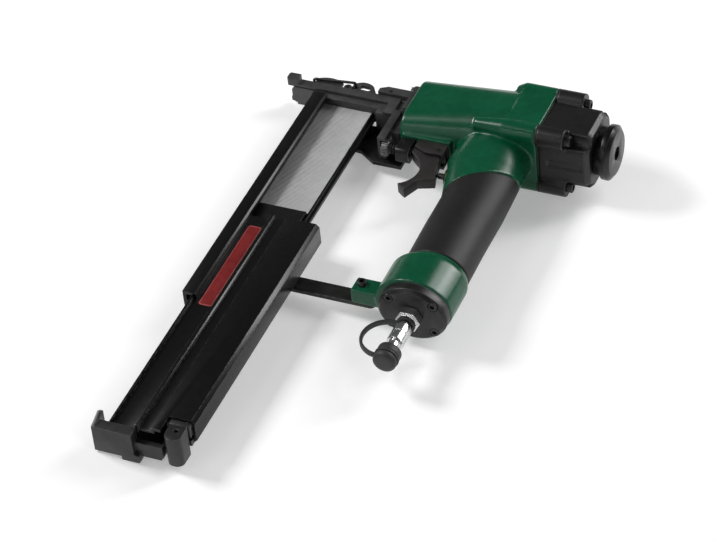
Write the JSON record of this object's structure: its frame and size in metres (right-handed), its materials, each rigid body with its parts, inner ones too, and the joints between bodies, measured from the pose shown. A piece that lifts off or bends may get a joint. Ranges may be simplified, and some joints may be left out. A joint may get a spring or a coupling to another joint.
{
  "type": "pneumatic nail and stapler",
  "caption": "Pneumatic nail and stapler: barrel with rear exhaust cap, rubber grip with air plug, sprung trigger, contact yoke and a magazine drawn open on its strip of nails.",
  "frame": {"origin": "where the nail leaves the nose, on the drive axis at the nose tip", "axes": "+X along the drive axis from the nose to the exhaust cap, -Y along the handle to the air plug and along the magazine to its end, +Z across the tool, upwards as it lies in the picture"},
  "size_m": [0.2445, 0.3895, 0.0558],
  "materials": {
    "green_casting": "dark green enamel over a die casting, half gloss",
    "black_casting": "black enamel over a die casting, half gloss",
    "black_plastic": "black moulded plastic, fine grain",
    "grip_rubber": "soft black grip rubber, dull sheen",
    "soft_rubber": "black rubber, dull",
    "dark_steel": "dark grey phosphated steel, dull",
    "grey_metal": "mid grey cast metal, satin",
    "bright_steel": "bright plated steel",
    "screw_steel": "black oxide steel",
    "inner_aluminium": "machined, satin",
    "valve_brass": "machined, satin",
    "strip_steel": "bright collated nails with a thin adhesive film",
    "red_label": "plain red film, bare"
  },
  "bodies": {
    "frame": {"air_plug": "bright_steel", "bumper": "soft_rubber", "cap_gasket": "soft_rubber", "cap_screws": "screw_steel", "cap_strap": "soft_rubber", "carrier_screws": "screw_steel", "cylinder_cap": "black_casting", "cylinder_seals": "soft_rubber", "cylinder_sleeve": "inner_aluminium", "door_pin": "bright_steel", "end_cap_screws": "screw_steel", "end_gasket": "soft_rubber", "exhaust_screw": "screw_steel", "front_carrier": "black_plastic", "grip_sleeve": "grip_rubber", "handle_end_cap": "black_casting", "head_valve_spring": "bright_steel", "magazine_rail": "black_plastic", "main_housing": "green_casting", "nail_strip": "strip_steel", "nose_housing": "dark_steel", "nose_screws": "screw_steel", "rear_bracket": "black_plastic", "rod_guide": "dark_steel", "trigger_bracket": "black_plastic", "trigger_pin": "bright_steel", "valve_body": "valve_brass", "valve_spring": "bright_steel", "yoke_spring": "bright_steel"},
    "magazine": {"magazine_cover": "black_plastic", "label_plate": "red_label", "pusher_rod": "bright_steel", "end_plate": "grey_metal", "release_pin": "bright_steel"},
    "pusher": {"pusher": "dark_steel", "pusher_spring": "bright_steel"},
    "release": {"magazine_release": "grey_metal"},
    "trigger": {"trigger": "black_plastic"},
    "valve_stem": {"valve_stem": "valve_brass"},
    "yoke": {"contact_yoke": "dark_steel"},
    "wheel": {"depth_wheel": "grey_metal"},
    "deflector": {"exhaust_deflector": "black_casting"},
    "driver": {"piston": "inner_aluminium", "piston_ring": "bright_steel", "driver_blade": "bright_steel"},
    "head_valve": {"head_valve": "inner_aluminium"},
    "door": {"nose_door": "dark_steel", "latch_pin": "bright_steel"},
    "latch": {"latch_lever": "dark_steel"},
    "bail": {"latch_bail": "bright_steel"},
    "dust_cap": {"dust_cap": "soft_rubber"}
  },
  "joints": [
    {"name": "magazine_slide", "type": "slide", "parent": "frame", "child": "magazine", "axis": [0, 1, 0], "range_m": [0, 0.124]},
    {"name": "pusher_slide", "type": "slide", "parent": "magazine", "child": "pusher", "axis": [0, 1, 0], "range_m": [-0.124, 0], "deforming": ["pusher_spring"]},
    {"name": "release_turn", "type": "hinge", "parent": "magazine", "child": "release", "pos_m": [0.072, -0.3505, 0], "axis": [0, 0, -1], "range_deg": [0, 8], "stiffness_Nm_per_rad": 1, "springref_deg": -2.86},
    {"name": "trigger_pull", "type": "hinge", "parent": "frame", "child": "trigger", "pos_m": [0.126, -0.039, 0], "axis": [0, 0, 1], "range_deg": [0, 8], "stiffness_Nm_per_rad": 1, "springref_deg": -2.86},
    {"name": "valve_stem_slide", "type": "slide", "parent": "frame", "child": "valve_stem", "axis": [1, 0, 0], "range_m": [0, 0.0034], "deforming": ["valve_spring"]},
    {"name": "yoke_slide", "type": "slide", "parent": "frame", "child": "yoke", "axis": [1, 0, 0], "range_m": [0, 0.0035], "stiffness_N_per_m": 1200, "springref_m": -0.004, "deforming": ["yoke_spring"]},
    {"name": "depth_wheel_turn", "type": "hinge", "parent": "yoke", "child": "wheel", "pos_m": [0.086, -0.04, 0], "axis": [1, 0, 0], "continuous": true},
    {"name": "exhaust_turn", "type": "hinge", "parent": "frame", "child": "deflector", "pos_m": [0.235, 0, 0], "axis": [1, 0, 0], "continuous": true},
    {"name": "driver_stroke", "type": "slide", "parent": "frame", "child": "driver", "axis": [-1, 0, 0], "range_m": [0, 0.0636]},
    {"name": "head_valve_lift", "type": "slide", "parent": "frame", "child": "head_valve", "axis": [1, 0, 0], "range_m": [0, 0.004], "stiffness_N_per_m": 2000, "springref_m": -0.004, "deforming": ["head_valve_spring"]},
    {"name": "nose_door_turn", "type": "hinge", "parent": "frame", "child": "door", "pos_m": [0.072, 0.0065, 0], "axis": [0, 0, -1], "range_deg": [0, 60]},
    {"name": "latch_lever_turn", "type": "hinge", "parent": "door", "child": "latch", "pos_m": [0.038, 0.008, 0], "axis": [0, 0, 1], "range_deg": [0, 110]},
    {"name": "latch_bail_turn", "type": "hinge", "parent": "latch", "child": "bail", "pos_m": [0.043, 0.011, 0], "axis": [0, 0, 1], "range_deg": [-110, 0]},
    {"name": "dust_cap_swing", "type": "hinge", "parent": "frame", "child": "dust_cap", "pos_m": [0.1435, -0.2333, 0], "axis": [0, 0, -1], "range_deg": [0, 105], "deforming": ["cap_strap"]}
  ],
  "couplings": [
    {"joint": "pusher_slide", "follows": "magazine_slide", "ratio": -1},
    {"joint": "valve_stem_slide", "follows": "trigger_pull", "m_per_rad": 0.0236},
    {"joint": "latch_bail_turn", "follows": "latch_lever_turn", "ratio": -1}
  ]
}
